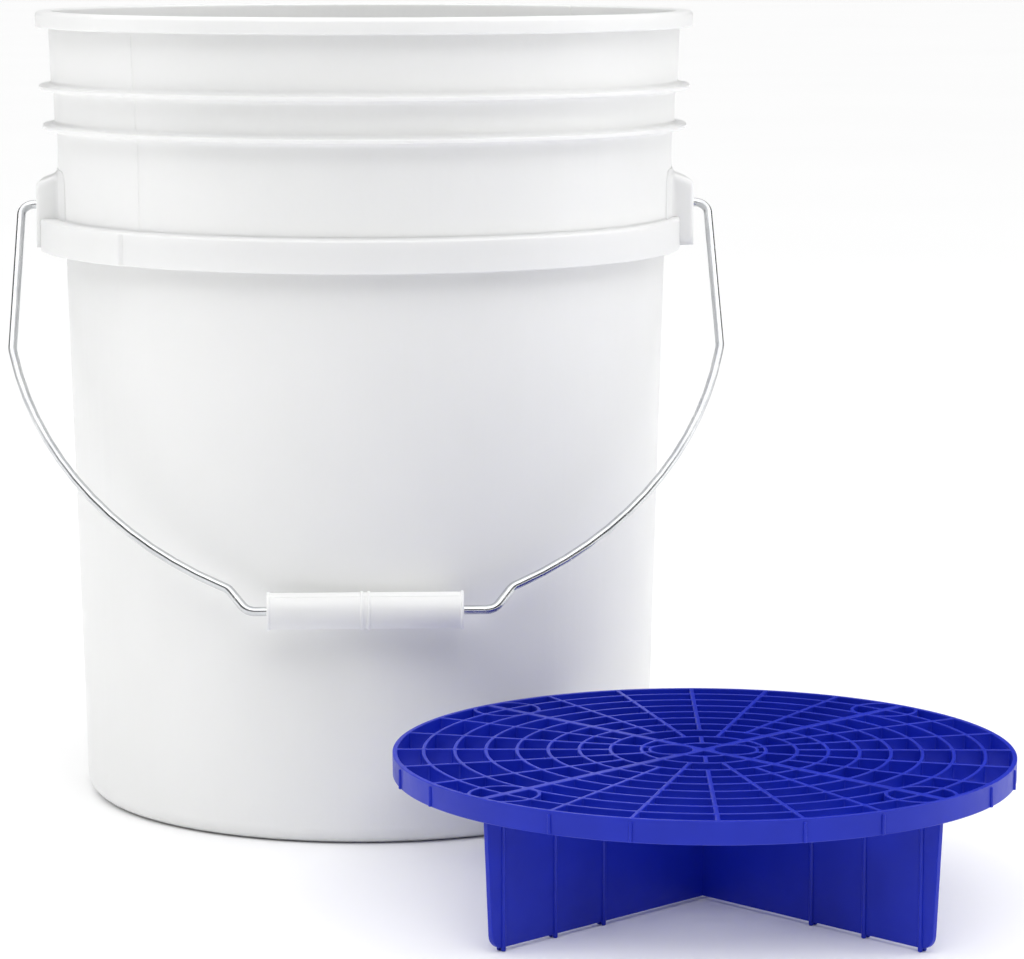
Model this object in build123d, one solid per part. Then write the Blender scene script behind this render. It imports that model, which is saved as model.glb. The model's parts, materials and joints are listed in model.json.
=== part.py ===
from build123d import *
from math import asin, cos, degrees, radians, sin, tan
import os

os.makedirs("parts", exist_ok=True)

# A round plastic wash pail that stands on its foot ring, with a steel bail and a roll grip,
# and the grit guard that belongs in its bottom, standing on the ground beside it.
# Millimetres. +Z is up, the origin is on the pail's axis at the ground, the bail hangs on the
# X axis and lies at the -Y side, which is the front.

# --- Pail: driving dimensions -------------------------------------------------------------
HEIGHT = 366.0               # ground to the top of the rim
WALL = 2.3                   # wall thickness
BODY_RADIUS = 139.8          # outside of the wall, just under the bail band
BODY_TAPER = 6.9             # the wall's radius is less by this at the foot
NECK_STEP = 2.8              # and more by this just above the bail band
NECK_FLARE = 0.5             # growth of the neck's radius up to the lower ring
MOUTH_FLARE = 1.1            # and from the upper ring to the rim
LIP_OVERHANG = 5.9           # how far the rim stands out from the mouth
LIP_DEPTH = 7.4              # rim: top face to the bottom of its turned-down edge
UPPER_RING_DROP = 34.8       # top of the rim to the middle of the upper stacking ring
LOWER_RING_DROP = 53.0       # and to the middle of the lower one
RING_REACH = 6.6             # a stacking ring's width, out from the wall
RING_ROOT = 2.8              # a stacking ring's thickness at the wall
RING_TIP = 2.0               # and at its edge
RING_STEP = 0.95             # the wall steps in by this much below each ring
PIVOT_DROP = 90.0            # top of the rim to the bail's pivot
BAND_BELOW_PIVOT = 5.5       # top of the bail band, under the pivot
BAND_DEPTH = 14.8            # the band's height
BAND_REACH = 4.4             # the band stands out this far from the neck
BAND_THICK = 2.2             # its sheet
BAND_PAD = 1.5               # the band is this much thicker beside one end of each ear
BAND_PAD_ANGLE = 42.3        # and that pad runs so far round from the ear
FOOT_HEIGHT = 12.0           # the rounded foot's height
FOOT_ROUND = 8.0             # its outer radius
FOOT_LAND = 3.5              # width of the flat ring that it stands on
FLOOR_LIFT = 3.0             # underside of the floor, above the ground
FLOOR_THICK = 2.6

# --- Ears ------------------------------------------------------------------------------------
EAR_REACH = 9.9              # outer face of an ear, out from the neck
EAR_WIDTH = 36.0
EAR_ABOVE = 15.4             # top of an ear above the pivot
EAR_BELOW = 18.6             # bottom of an ear under the pivot
EAR_SHEET = 2.3
EAR_ROUND = 2.0
EAR_TOP_FALL = 4.0           # the top slopes down outwards by this much

# --- Bail and grip -----------------------------------------------------------------------------
WIRE_RADIUS = 2.0
EAR_HOLE_GAP = 0.35          # radial clearance of the wire in the ear's hole
HEAD_RADIUS = 4.0            # upset head that keeps the wire in the ear
HEAD_LENGTH = 2.2
HEAD_GAP = 0.5               # head to the inside of the ear
ARM_LENGTH = 221.5           # pivot axis to the middle of the grip
SHANK_GAP = 5.8              # straight shank to the ear's outer face
SHANK_LENGTH = 82.0
SHANK_SPLAY = 1.2            # the shank leans out by this much over its length
BOW_TURN = 51.2              # degrees that the bow turns through on each side
JOG_WIDTH = 8.2              # at the bow's end the wire steps in by this much
JOG_DROP = 11.6              # and down by this much to the straight middle run
RUN_SPARE = 11.1             # the middle run is this much longer than the grip, each end
BEND_ROOM = 3.0              # length left beside the bow for the small bends
SHANK_BEND = 6.0             # bend radii of the wire
KINK_BEND = 10.0
JOG_BEND = 7.0
GRIP_LENGTH = 86.0
GRIP_RADIUS = 8.0
GRIP_BORE_GAP = 0.4          # radial clearance of the wire in the grip
GRIP_SHIFT = -2.5            # the grip lies this far from the middle of the wire
GRIP_RIM = 0.5               # end rims and middle ribs stand this proud
GRIP_RIM_WIDTH = 1.2
GRIP_RIB_SPACING = 3.0
GRIP_WALL_GAP = 0.6          # grip to the pail's wall as it hangs

# --- Grit guard ---------------------------------------------------------------------------------
GUARD_CLEARANCE = 1.0        # beads on its band to the wall, when it stands in the pail
GUARD_HEIGHT = 64.0
GUARD_BEARING = -59.3        # direction in which it stands beside the pail, degrees about Z
GUARD_GAP = 4.8              # and its beads' distance from the wall there
GUARD_TURN = -3.0            # degrees about Z
RING_COUNT = 10              # ring pitches from the centre to the outer band
SPOKE_COUNT = 24
GRID_DEPTH = 9.7
HOOP_THICK = 2.0             # outer band
HOOP_BEAD = 0.8              # half-round beads on the outside of the band
HOOP_BEAD_SHORT = 1.2        # they stop so far under the top
GRID_RING = 1.5
SPOKE = 1.8
RAIL = 3.4                   # the four wide bars over the legs
FINGER_RADIUS = 8.6
FINGER_WALL = 1.4
FINGER_CENTRE = 13.2
BRIDGE = 1.2                 # the small webs between a finger ring and the ring around it
BRIDGE_OFFSET = 5.0
LOOP_RADIUS = 14.0
LEG = 2.5
LEG_TOP_GAP = 0.5            # leg's outer edge to the inside of the outer band
LEG_TAPER = 3.0
LEG_ROUND = 6.0
BEAD_RADIUS = 1.3            # half-round stiffening beads on the legs
BEAD_FOOT = 1.5              # they reach so far under the plate
BEAD_PLACES = (0.93, 0.70, 0.48)   # share of the leg's length


# --- Heights and radii that follow -----------------------------------------------------------------
PIVOT_Z = HEIGHT - PIVOT_DROP
UPPER_RING_Z = HEIGHT - UPPER_RING_DROP
LOWER_RING_Z = HEIGHT - LOWER_RING_DROP
BAND_TOP_Z = PIVOT_Z - BAND_BELOW_PIVOT
BAND_LOW_Z = BAND_TOP_Z - BAND_DEPTH
STEP_LOW_Z = BAND_LOW_Z + 2.0
STEP_TOP_Z = BAND_TOP_Z - 2 * BAND_THICK
LIP_LOW_Z = HEIGHT - LIP_DEPTH
COLLAR_Z = LIP_LOW_Z + 0.4
FLOOR_TOP = FLOOR_LIFT + FLOOR_THICK

BASE_RADIUS = BODY_RADIUS - BODY_TAPER
NECK_RADIUS = BODY_RADIUS + NECK_STEP
NECK_TOP_RADIUS = NECK_RADIUS + NECK_FLARE
BETWEEN_LOW_RADIUS = NECK_TOP_RADIUS + RING_STEP
BETWEEN_RADIUS = BETWEEN_LOW_RADIUS + NECK_FLARE
ABOVE_RADIUS = BETWEEN_RADIUS + RING_STEP
MOUTH_RADIUS = ABOVE_RADIUS + MOUTH_FLARE
EAR_FACE = NECK_RADIUS + EAR_REACH


def wall_outline():
    """The wall's outside, from the foot to the rim, as (radius, height) corners."""
    return [
        (BASE_RADIUS, FOOT_HEIGHT),
        (BODY_RADIUS, STEP_LOW_Z),
        (NECK_RADIUS, STEP_TOP_Z),
        (NECK_TOP_RADIUS, LOWER_RING_Z - RING_ROOT / 2),
        (BETWEEN_LOW_RADIUS, LOWER_RING_Z + RING_ROOT / 2),
        (BETWEEN_RADIUS, UPPER_RING_Z - RING_ROOT / 2),
        (ABOVE_RADIUS, UPPER_RING_Z + RING_ROOT / 2),
        (MOUTH_RADIUS, COLLAR_Z),
    ]


def wall_radius(z):
    """Outside radius of the wall at height z."""
    outline = wall_outline()
    for (r0, z0), (r1, z1) in zip(outline, outline[1:]):
        if z <= z1:
            return r0 + (r1 - r0) * (z - z0) / (z1 - z0)
    return outline[-1][0]


def turned(points, rounds=()):
    """A solid of revolution from (radius, height) corners; rounds lists (corner number, radius)."""
    face = make_face(Plane.XZ * Polyline(*points, close=True))
    for corner, radius in rounds:
        r, z = points[corner]
        picked = [v for v in face.vertices() if abs(v.X - r) < 1e-4 and abs(v.Z - z) < 1e-4]
        face = fillet(picked, radius)
    return revolve(face, Axis.Z)


def inward(outline):
    """The inside of a wall outline, one wall thickness in."""
    return [(r - WALL, z) for r, z in outline]


# --- Pail ------------------------------------------------------------------------------------------
def pail_wall(low, high):
    """The stretch of wall between two corners of the outline."""
    outline = wall_outline()[low:high + 1]
    return turned(outline + inward(outline)[::-1])


def foot():
    """The rounded corner between the wall and the floor, with the flat ring that it stands on."""
    inner = BASE_RADIUS - WALL
    inner_round = FOOT_ROUND - WALL
    toe = BASE_RADIUS - FOOT_ROUND
    outline = Polyline(
        (toe, 0), (toe - FOOT_LAND, 0), (toe - FOOT_LAND - 1.0, FLOOR_LIFT),
        (toe - FOOT_LAND - 1.0, FLOOR_TOP), (inner - inner_round, FLOOR_TOP),
    )
    outline += RadiusArc((inner - inner_round, FLOOR_TOP), (inner, FLOOR_TOP + inner_round), -inner_round)
    outline += Polyline(
        (inner, FLOOR_TOP + inner_round), (inner, FOOT_HEIGHT), (BASE_RADIUS, FOOT_HEIGHT),
        (BASE_RADIUS, FOOT_ROUND),
    )
    outline += RadiusArc((BASE_RADIUS, FOOT_ROUND), (toe, 0), FOOT_ROUND)
    return revolve(make_face(Plane.XZ * outline), Axis.Z)


def pail_floor():
    """The disc between the foot's inner edges."""
    radius = BASE_RADIUS - FOOT_ROUND - FOOT_LAND - 1.0
    return Pos(0, 0, FLOOR_LIFT) * extrude(Circle(radius), FLOOR_THICK)


def rim():
    """The rolled rim: the wall's end, a flat top and a turned-down edge."""
    inner = MOUTH_RADIUS - WALL
    outer = MOUTH_RADIUS + LIP_OVERHANG
    under = HEIGHT - WALL
    corners = [
        (inner, COLLAR_Z), (inner, HEIGHT), (outer, HEIGHT), (outer, LIP_LOW_Z),
        (outer - WALL, LIP_LOW_Z), (outer - WALL, under), (MOUTH_RADIUS, under),
        (MOUTH_RADIUS, COLLAR_Z),
    ]
    return turned(corners, [(1, 0.9), (2, 1.6), (3, 0.9), (4, 0.5)])


def stacking_ring(z):
    """A thin flange round the wall."""
    low, high = z - RING_ROOT / 2, z + RING_ROOT / 2
    tip = wall_radius(low) + RING_REACH
    corners = [
        (wall_radius(low), low), (tip, z - RING_TIP / 2), (tip, z + RING_TIP / 2),
        (wall_radius(high), high),
    ]
    return turned(corners, [(1, 0.7), (2, 0.7)])


def wall_core():
    """Everything inside the wall's outer face."""
    return turned([(0, FOOT_HEIGHT)] + wall_outline() + [(0, COLLAR_Z)])


def ear_block(reach, width, low, high, fall):
    """A block that stands out along +X, with a top that falls outwards."""
    start = BODY_RADIUS - WALL
    side = make_face(Plane.XZ * Polyline(
        (start, low), (reach, low), (reach, high - fall), (NECK_RADIUS - WALL, high), (start, high),
        close=True,
    ))
    return extrude(side, width / 2, both=True)


def ear():
    """One bail ear on the +X side: a box that is open below, with the wire's hole."""
    low, high = PIVOT_Z - EAR_BELOW, PIVOT_Z + EAR_ABOVE
    block = ear_block(EAR_FACE, EAR_WIDTH, low, high, EAR_TOP_FALL)
    corners = block.edges().filter_by(Axis.Z).group_by(Axis.X)[-1]
    block = fillet(corners, EAR_ROUND)
    crest = block.faces().sort_by(Axis.X)[-1].edges().sort_by(Axis.Z)[-1]
    block = fillet(crest, EAR_ROUND)
    pocket = ear_block(
        EAR_FACE - EAR_SHEET, EAR_WIDTH - 2 * EAR_SHEET, low - 1, high - EAR_SHEET, EAR_TOP_FALL)
    hole = Pos(EAR_FACE, 0, PIVOT_Z) * Rot(0, 90, 0) * Cylinder(WIRE_RADIUS + EAR_HOLE_GAP, 4 * EAR_SHEET)
    return block - pocket - hole - wall_core()


def bail_band():
    """The skirt under the ears: a flat top, a turned-down edge, and two thicker pads."""
    outer = NECK_RADIUS + BAND_REACH
    top_low = BAND_TOP_Z - BAND_THICK
    skirt = turned([
        (BODY_RADIUS - WALL, top_low), (outer - BAND_THICK, top_low), (outer - BAND_THICK, BAND_LOW_Z),
        (outer, BAND_LOW_Z), (outer, BAND_TOP_Z), (BODY_RADIUS - WALL, BAND_TOP_Z),
    ], [(3, 0.7), (4, 1.3)])
    skirt -= wall_core()
    face = Plane.XZ * Pos(outer + BAND_PAD / 2, (BAND_LOW_Z + BAND_TOP_Z) / 2) * Rectangle(
        BAND_PAD, BAND_DEPTH - 2.6)
    pad = revolve(face, Axis.Z, BAND_PAD_ANGLE)
    skirt += [Rot(0, 0, 180) * pad, pad]
    gap = Box(2 * outer + 20, EAR_WIDTH, 4 * BAND_DEPTH)
    return skirt - Pos(0, 0, BAND_TOP_Z) * gap


# --- Bail and grip -----------------------------------------------------------------------------------
def hang_angle():
    """Angle from straight down at which the hanging grip lies against the wall."""
    angle = asin(BODY_RADIUS / ARM_LENGTH)
    for _ in range(30):
        z = PIVOT_Z - ARM_LENGTH * cos(angle)
        reach = wall_radius(z) + GRIP_WALL_GAP + GRIP_RADIUS + GRIP_RIM
        angle = asin(reach / ARM_LENGTH)
    return angle


HANG = hang_angle()
GRIP_Y = -ARM_LENGTH * sin(HANG)
GRIP_Z = PIVOT_Z - ARM_LENGTH * cos(HANG)
BAIL_PLANE = Plane(origin=(0, 0, PIVOT_Z), x_dir=(1, 0, 0), z_dir=(0, cos(HANG), -sin(HANG)))
SHANK_X = EAR_FACE + SHANK_GAP + WIRE_RADIUS
HEAD_OUT = EAR_FACE - EAR_SHEET - HEAD_GAP
RUN_HALF = GRIP_LENGTH / 2 + RUN_SPARE

# The bow is one arc between two tangents of equal length, which cross at its corner.
BOW_START = Vector(SHANK_X + SHANK_SPLAY, SHANK_LENGTH)
BOW_END = Vector(RUN_HALF + JOG_WIDTH, ARM_LENGTH - JOG_DROP)
BOW_CHORD = BOW_END - BOW_START
HALF_TURN = radians(BOW_TURN / 2)
BOW_OUT = Vector(BOW_CHORD.Y, -BOW_CHORD.X) / 2 * tan(HALF_TURN)
BOW_CORNER = (BOW_START + BOW_END) / 2 + BOW_OUT
BOW_RADIUS = (BOW_CHORD.length / 2 / cos(HALF_TURN) - BEND_ROOM) / tan(HALF_TURN)


def bail_route():
    """Corners of the wire's centre line in the bail's plane, from one ear to the other."""
    half = [
        (HEAD_OUT, 0), (SHANK_X, 0), tuple(BOW_START), tuple(BOW_CORNER),
        tuple(BOW_END), (RUN_HALF, ARM_LENGTH),
    ]
    half = [point[:2] for point in half]
    return half + [(-x, y) for x, y in reversed(half)]


def bail_wire():
    """The bent wire with an upset head in each ear."""
    bends = [SHANK_BEND, KINK_BEND, BOW_RADIUS, JOG_BEND, JOG_BEND]
    route = BAIL_PLANE * FilletPolyline(*bail_route(), radius=bends + bends[::-1])
    section = Plane(origin=route @ 0, z_dir=route % 0) * Circle(WIRE_RADIUS)
    wire = sweep(section, path=route)
    for side in (1, -1):
        centre = side * (HEAD_OUT - HEAD_LENGTH / 2)
        wire += Pos(centre, 0, PIVOT_Z) * Rot(0, 90, 0) * Cylinder(HEAD_RADIUS, HEAD_LENGTH)
    return wire


def hand_grip():
    """The roll on the wire's middle run, with end rims and a pair of ribs in the middle."""
    body = Cylinder(GRIP_RADIUS, GRIP_LENGTH)
    end = (GRIP_LENGTH - GRIP_RIM_WIDTH) / 2
    for place in (-end, -GRIP_RIB_SPACING / 2, GRIP_RIB_SPACING / 2, end):
        body += Pos(0, 0, place) * Cylinder(GRIP_RADIUS + GRIP_RIM, GRIP_RIM_WIDTH)
    body -= Cylinder(WIRE_RADIUS + GRIP_BORE_GAP, GRIP_LENGTH)
    return Pos(GRIP_SHIFT, GRIP_Y, GRIP_Z) * Rot(0, 90, 0) * body


# --- Grit guard ----------------------------------------------------------------------------------------
GRID_LOW = GUARD_HEIGHT - GRID_DEPTH
GUARD_RADIUS = wall_radius(FLOOR_TOP + GRID_LOW) - WALL - GUARD_CLEARANCE - HOOP_BEAD
PITCH = GUARD_RADIUS / RING_COUNT
HOOP_INNER = GUARD_RADIUS - HOOP_THICK
HUB_RADIUS = 2 * PITCH + GRID_RING / 2
SPOKE_STEP = 360.0 / SPOKE_COUNT
GUARD_DISTANCE = wall_radius(GUARD_HEIGHT) + GUARD_GAP + HOOP_BEAD + GUARD_RADIUS
GUARD_X = GUARD_DISTANCE * cos(radians(GUARD_BEARING))
GUARD_Y = GUARD_DISTANCE * sin(radians(GUARD_BEARING))
GUARD_PLACE = Location((GUARD_X, GUARD_Y, 0), (0, 0, GUARD_TURN))


def ring_face(number):
    """One grid ring as a flat face."""
    middle = number * PITCH
    return Circle(middle + GRID_RING / 2) - Circle(middle - GRID_RING / 2)


def bar_face(start, end, angle, width):
    """A flat bar from one radius to another, along an angle."""
    return Rot(0, 0, angle) * Pos((start + end) / 2, 0) * Rectangle(end - start, width)


def wedge(angle, reach=2 * GUARD_RADIUS):
    """A quarter of the plane about an angle."""
    return Rot(0, 0, angle) * make_face(Polyline((0, 0), (reach, -reach), (reach, reach), close=True))


def raised(face):
    """A flat face given the grid's depth at the grid's height."""
    return Pos(0, 0, GRID_LOW) * extrude(face, GRID_DEPTH)


def grid_sector():
    """A quarter of the grid about +X, between the hub, two rails and the outer band."""
    face = ring_face(3)
    for number in range(4, RING_COUNT):
        face += ring_face(number)
    for place in (-2, -1, 0, 1, 2):
        start = (3 if place % 2 == 0 else 2) * PITCH
        face += bar_face(start, HOOP_INNER + 1, place * SPOKE_STEP, SPOKE)
    for angle in (-45, 45):
        middle = Rot(0, 0, angle) * Pos((RING_COUNT - 1) * PITCH, 0)
        face += middle * (Circle(LOOP_RADIUS + GRID_RING / 2) - Circle(LOOP_RADIUS - GRID_RING / 2))
    field = (Circle(HOOP_INNER) - Circle(HUB_RADIUS)) & wedge(0)
    for angle in (-45, 45):
        field -= bar_face(0, 2 * GUARD_RADIUS, angle, RAIL)
    return raised(face & field)


def guard_hub():
    """The middle of the grid: two rings, the crossing rails and the two finger rings."""
    hub = ring_face(2)
    arcs = ring_face(1) & (wedge(90) + wedge(-90))
    for angle in (90, -90):
        hub += bar_face(PITCH, 2 * PITCH, angle, SPOKE)
    hub += arcs
    for angle in (45, 135):
        hub += Rot(0, 0, angle) * Rectangle(2 * HUB_RADIUS - GRID_RING, RAIL)
    for side in (1, -1):
        hub += Pos(side * FINGER_CENTRE, 0) * Circle(FINGER_RADIUS + FINGER_WALL)
        for offset in (BRIDGE_OFFSET, -BRIDGE_OFFSET):
            hub += Pos(side * (FINGER_CENTRE + 2 * PITCH) / 2, offset) * Rectangle(
                2 * PITCH - FINGER_CENTRE - 2.0, BRIDGE)
    for side in (1, -1):
        hub -= Pos(side * FINGER_CENTRE, 0) * Circle(FINGER_RADIUS)
    return raised(hub & Circle(HUB_RADIUS))


def guard_hoop():
    """The outer band with its beads."""
    hoop = raised(Circle(GUARD_RADIUS) - Circle(HOOP_INNER))
    height = GRID_DEPTH - HOOP_BEAD_SHORT
    for number in range(SPOKE_COUNT):
        if number % 3:
            bead = Pos(GUARD_RADIUS, 0, GRID_LOW + height / 2) * Cylinder(HOOP_BEAD, height)
            hoop += Rot(0, 0, number * SPOKE_STEP) * bead
    return hoop - Pos(0, 0, GRID_LOW) * Cylinder(HOOP_INNER, 2 * GRID_DEPTH + 2)


def guard_leg():
    """One leg along +X: a rail in the grid, the plate under it and the plate's beads."""
    reach = HOOP_INNER - LEG_TOP_GAP
    toe = reach - LEG_TAPER
    plate = make_face(Plane.XZ * Polyline(
        (0, BEAD_FOOT), (toe, BEAD_FOOT), (reach, GRID_LOW), (0, GRID_LOW), close=True))
    corner = [v for v in plate.vertices() if abs(v.X - toe) < 1e-4 and abs(v.Z - BEAD_FOOT) < 1e-4]
    leg = extrude(fillet(corner, LEG_ROUND), LEG / 2, both=True)
    for share in BEAD_PLACES:
        for side in (1, -1):
            bead = Cylinder(BEAD_RADIUS, GRID_LOW, align=(Align.CENTER, Align.CENTER, Align.MIN))
            leg += Pos(share * reach, side * LEG / 2, 0) * bead
    leg &= extrude(wedge(0), GRID_LOW)
    rail = bar_face(HUB_RADIUS - 2, GUARD_RADIUS, 0, RAIL) & (Circle(HOOP_INNER) - Circle(HUB_RADIUS))
    return leg + raised(rail)


# --- Build ----------------------------------------------------------------------------------------------
right_ear = ear()
pieces = {
    "bucket_floor": pail_floor(),
    "bucket_foot": foot(),
    "bucket_lower_wall": pail_wall(0, 1),
    "bucket_upper_wall": pail_wall(1, 7),
    "bucket_rim": rim(),
    "upper_stacking_ring": stacking_ring(UPPER_RING_Z),
    "lower_stacking_ring": stacking_ring(LOWER_RING_Z),
    "bail_band": bail_band(),
    "right_bail_ear": right_ear,
    "left_bail_ear": Rot(0, 0, 180) * right_ear,
    "bail_wire": bail_wire(),
    "hand_grip": hand_grip(),
    "guard_hoop": GUARD_PLACE * guard_hoop(),
    "guard_hub": GUARD_PLACE * guard_hub(),
}
quarter = grid_sector()
for name, angle in (("right", 0), ("back", 90), ("left", 180), ("front", 270)):
    pieces[f"guard_grid_{name}"] = GUARD_PLACE * (Rot(0, 0, angle) * quarter)
leg = guard_leg()
for name, angle in (("back_right", 45), ("back_left", 135), ("front_left", 225), ("front_right", 315)):
    pieces[f"guard_leg_{name}"] = GUARD_PLACE * (Rot(0, 0, angle) * leg)

for name, solid in pieces.items():
    export_step(solid, f"parts/{name}.step")

print("hang angle", round(degrees(HANG), 3), "grip at", round(GRIP_Y, 3), round(GRIP_Z, 3))
print("bail swings", round(360 - 2 * degrees(HANG), 2), "degrees; ear face at", round(EAR_FACE, 2))
print("guard radius", round(GUARD_RADIUS, 3), "centre", round(GUARD_X, 3), round(GUARD_Y, 3))
print("rim radius", round(MOUTH_RADIUS + LIP_OVERHANG, 3), "bow radius", round(BOW_RADIUS, 2))
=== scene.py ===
"""The looks of a wash bucket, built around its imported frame.

A milky plastic pail with a wire bail and a roll grip, and the blue grit guard that stands beside it.
Lengths are metres. The pail's axis is Z, the ground is at zero and the bail hangs on the -Y side.
"""

import json
import logging
from dataclasses import dataclass, field
from enum import Enum
from math import asin, atan2, cos, hypot, pi, radians, sin, sqrt, tan, tau

import bmesh
import bpy
import numpy as np
from mathutils import Matrix, Vector
from mathutils.geometry import delaunay_2d_cdt


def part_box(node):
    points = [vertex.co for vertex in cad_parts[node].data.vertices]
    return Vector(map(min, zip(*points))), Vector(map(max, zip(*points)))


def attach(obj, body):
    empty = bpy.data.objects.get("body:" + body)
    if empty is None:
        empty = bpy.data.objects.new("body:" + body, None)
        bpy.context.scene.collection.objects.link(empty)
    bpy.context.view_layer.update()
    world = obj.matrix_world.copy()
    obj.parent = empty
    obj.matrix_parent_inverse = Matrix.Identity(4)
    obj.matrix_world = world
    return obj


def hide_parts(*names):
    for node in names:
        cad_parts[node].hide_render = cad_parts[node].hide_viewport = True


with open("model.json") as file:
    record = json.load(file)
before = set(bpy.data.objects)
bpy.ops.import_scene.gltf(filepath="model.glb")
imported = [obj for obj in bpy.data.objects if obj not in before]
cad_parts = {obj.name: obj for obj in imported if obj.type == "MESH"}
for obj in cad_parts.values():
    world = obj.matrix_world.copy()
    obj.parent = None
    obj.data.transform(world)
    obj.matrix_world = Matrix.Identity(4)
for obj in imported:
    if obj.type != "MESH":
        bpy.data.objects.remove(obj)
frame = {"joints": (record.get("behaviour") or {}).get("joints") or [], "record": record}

log = logging.getLogger("wash_bucket")

Corner = tuple[float, float, float]
Point = tuple[float, float]
Colour = tuple[float, float, float]
Array = np.ndarray
Material = bpy.types.Material
Piece = bpy.types.Object
Socket = bpy.types.NodeSocket

SOFT_EDGE = np.radians([0, 30, 60, 90])
FINE_EDGE = np.radians([0, 22, 45, 67, 90])
CLOUD: Point = (0.3, 0.7)


class Body(Enum):
    """The frame's moving bodies."""

    BUCKET = "bucket"
    BAIL = "bail"
    GRIP = "grip"
    GUARD = "guard"


class Side(Enum):
    """The pail's two sides, as signs of X."""

    RIGHT = 1
    LEFT = -1


# --- Outlines -----------------------------


def rounded(corners: list[Corner], steps: int = 5) -> list[Point]:
    """Gives an outline's corners their arcs.

    Args:
        corners: Corners as (x, y, radius), where a radius of zero stays sharp.
        steps: Straight runs in each arc.

    Returns:
        The outline's points.
    """
    outline: list[Point] = []
    for number, (x, y, radius) in enumerate(corners):
        if radius <= 0:
            outline.append((x, y))
            continue
        here = Vector((x, y))
        back = (Vector(corners[number - 1][:2]) - here).normalized()
        onward = (Vector(corners[(number + 1) % len(corners)][:2]) - here).normalized()
        half = back.angle(onward) / 2
        centre = here + (back + onward).normalized() * (radius / sin(half))
        start = here + back * (radius / tan(half)) - centre
        end = here + onward * (radius / tan(half)) - centre
        first = atan2(start.y, start.x)
        turn = (atan2(end.y, end.x) - first + pi) % tau - pi
        for step in range(steps + 1):
            angle = first + turn * step / steps
            outline.append((centre.x + radius * cos(angle), centre.y + radius * sin(angle)))
    return outline


def bent(corners: list[Vector], radii: list[float], steps: int = 10) -> list[Vector]:
    """Rounds the inner corners of a path in space.

    Args:
        corners: The path's corners.
        radii: One bend radius for each inner corner.
        steps: Straight runs in each bend.

    Returns:
        The points of the bent path.
    """
    path = [corners[0]]
    for before, here, after, radius in zip(corners, corners[1:], corners[2:], radii):
        back = (before - here).normalized()
        onward = (after - here).normalized()
        half = back.angle(onward) / 2
        centre = here + (back + onward).normalized() * (radius / sin(half))
        start = (here + back * (radius / tan(half)) - centre).normalized()
        end = (here + onward * (radius / tan(half)) - centre).normalized()
        runs = max(2, round(steps * (pi - 2 * half)))
        path += [centre + radius * start.slerp(end, step / runs) for step in range(runs + 1)]
    return path + [corners[-1]]


def zero_outlines(field: Array, xs: Array, ys: Array) -> list[Array]:
    """Traces the closed outlines along which a sampled field is zero.

    Args:
        field: Samples of the field, the first index along xs.
        xs: The samples' places along X.
        ys: The samples' places along Y.

    Returns:
        One array of points for each outline.
    """
    inside = field < 0
    corners = [inside[:-1, :-1], inside[1:, :-1], inside[1:, 1:], inside[:-1, 1:]]
    mixed = np.logical_or.reduce(corners) & ~np.logical_and.reduce(corners)
    links: dict[tuple[int, int, int], list[tuple[int, int, int]]] = {}
    for i, j in np.argwhere(mixed).tolist():
        a, b, c, d = inside[i, j], inside[i + 1, j], inside[i + 1, j + 1], inside[i, j + 1]
        sides = (((0, i, j), a != b), ((1, i + 1, j), b != c), ((0, i, j + 1), c != d), ((1, i, j), d != a))
        crossed = [side for side, hit in sides if hit]
        for first, second in zip(crossed[::2], crossed[1::2]):
            links.setdefault(first, []).append(second)
            links.setdefault(second, []).append(first)
    outlines = []
    while links:
        start = next(iter(links))
        loop, here = [], start
        while here in links:
            loop.append(here)
            here = next((other for other in links.pop(here) if other in links), start)
        spots = []
        for along, i, j in loop:
            k, m = (i + 1, j) if along == 0 else (i, j + 1)
            share = field[i, j] / (field[i, j] - field[k, m])
            spots.append((xs[i] + share * (xs[k] - xs[i]), ys[j] + share * (ys[m] - ys[j])))
        outlines.append(np.array(spots))
    return outlines


def thinned(loop: Array, slack: float) -> Array:
    """Drops the points of a closed outline that lie on its straight runs.

    Args:
        loop: The outline's points.
        slack: How far a dropped point may lie from the outline that is left.

    Returns:
        The points that are kept.
    """
    ring = np.vstack([loop, loop[:1]])
    far = int(np.argmax(np.hypot(*(loop - loop[0]).T)))
    keep = {0, far}
    stack = [(0, far), (far, len(loop))]
    while stack:
        first, last = stack.pop()
        if last - first < 2:
            continue
        run = ring[last] - ring[first]
        offset = ring[first + 1:last] - ring[first]
        away = np.abs(run[0] * offset[:, 1] - run[1] * offset[:, 0]) / max(np.hypot(*run), 1e-9)
        worst = int(np.argmax(away))
        if away[worst] > slack:
            middle = first + 1 + worst
            keep.add(middle)
            stack += [(first, middle), (middle, last)]
    return ring[sorted(keep)]


def counterclockwise(loop: Array) -> Array:
    """Turns a closed outline so that it runs counterclockwise."""
    onward = np.roll(loop, -1, 0)
    area = np.sum(loop[:, 0] * onward[:, 1] - loop[:, 1] * onward[:, 0])
    return loop if area > 0 else loop[::-1]


# --- Meshes -------------------------------


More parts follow.
